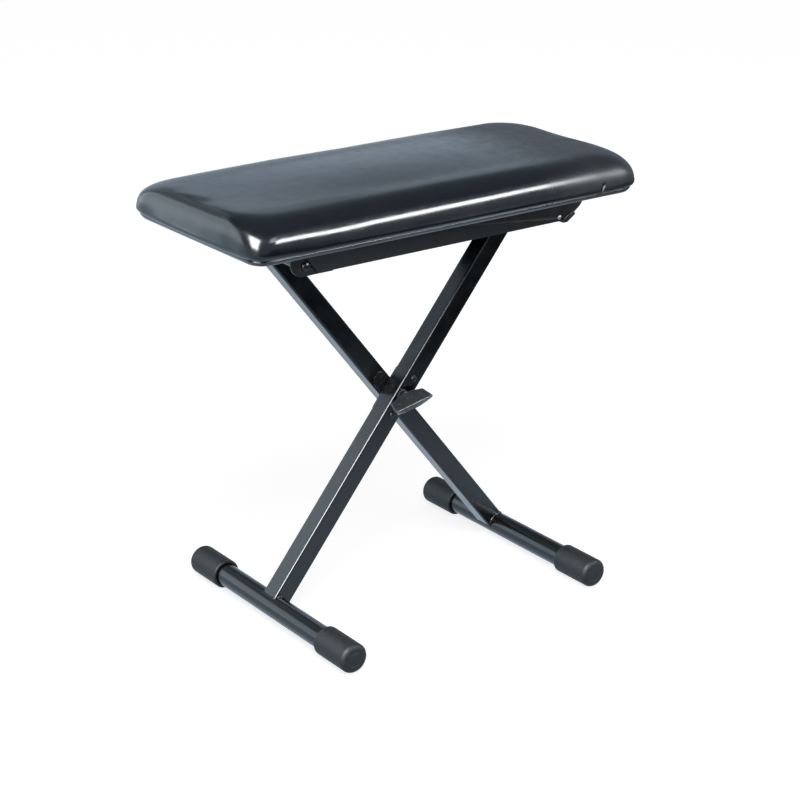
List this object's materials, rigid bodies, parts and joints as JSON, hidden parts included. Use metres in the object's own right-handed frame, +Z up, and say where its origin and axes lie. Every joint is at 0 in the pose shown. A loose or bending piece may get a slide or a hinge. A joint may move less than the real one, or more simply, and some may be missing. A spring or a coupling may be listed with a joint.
{
  "type": "folding keyboard bench",
  "caption": "Padded keyboard bench on a folding X frame of square tube, with a toothed centre lock and T handle, rubber-capped feet and a seat that slides in rails.",
  "frame": {"origin": "on the floor, midway between the four feet", "axes": "+X along the seat's long side towards the open ends of the rails, +Y away from the lock handle, +Z up"},
  "size_m": [0.636, 0.372, 0.607],
  "materials": {
    "vinyl": "glossy black vinyl upholstery, fine grain",
    "foam": "open-cell cushion foam",
    "plywood": "raw plywood",
    "lining": "black spun lining cloth",
    "staple_wire": "bare galvanised wire",
    "rail_paint": "black powder coat, satin",
    "leg_paint": "black enamel, semi-gloss",
    "bright_steel": "zinc-plated steel",
    "blued_steel": "black-oxide steel",
    "nylon": "black nylon",
    "black_plastic": "moulded black plastic",
    "cap_rubber": "matt black rubber",
    "insert_brass": "turned brass"
  },
  "bodies": {
    "leg_a": {"leg_a_tube": "leg_paint", "leg_a_plug": "black_plastic", "foot_tube_left": "leg_paint", "foot_cap_left_near": "cap_rubber", "foot_cap_left_far": "cap_rubber", "slide_tube": "leg_paint", "slide_glides": "nylon", "pivot_bush": "nylon", "lock_plate_a": "blued_steel", "lock_plate_a_bolts": "blued_steel"},
    "leg_b": {"leg_b_tube": "leg_paint", "leg_b_plug": "black_plastic", "foot_tube_right": "leg_paint", "foot_cap_right_near": "cap_rubber", "foot_cap_right_far": "cap_rubber", "hinge_tube": "leg_paint", "hinge_bushes": "nylon", "pivot_bolt": "bright_steel", "pivot_near_washer": "blued_steel", "pivot_far_washer": "bright_steel", "disc_spring": "bright_steel", "lock_plate_b": "blued_steel", "lock_plate_b_rivets": "blued_steel"},
    "seat": {"seat_cover": "vinyl", "seat_foam": "foam", "seat_board": "plywood", "underside_lining": "lining", "cover_staples": "staple_wire", "rail_near": "rail_paint", "rail_far": "rail_paint", "hinge_plate_near": "rail_paint", "hinge_plate_far": "rail_paint", "rail_screws": "bright_steel", "rail_end_shoes": "black_plastic", "rail_end_rivets": "bright_steel", "hinge_bolt": "blued_steel", "hinge_nut": "bright_steel"},
    "handle": {"lock_handle": "black_plastic", "handle_insert": "insert_brass"}
  },
  "joints": [
    {"name": "fold", "type": "hinge", "parent": "leg_a", "child": "leg_b", "pos_m": [0, 0.023, 0.28082], "axis": [0, -1, 0], "range_deg": [0, 84.3]},
    {"name": "seat_hinge", "type": "hinge", "parent": "leg_b", "child": "seat", "pos_m": [-0.18339, 0.023, 0.5085], "axis": [0, -1, 0], "range_deg": [-42.2, 0]},
    {"name": "handle_turn", "type": "hinge", "parent": "leg_b", "child": "handle", "pos_m": [0, -0.02, 0.28082], "axis": [0, -1, 0], "range_deg": [0, 360]}
  ],
  "couplings": [
    {"joint": "seat_hinge", "follows": "fold", "ratio": -0.5}
  ]
}
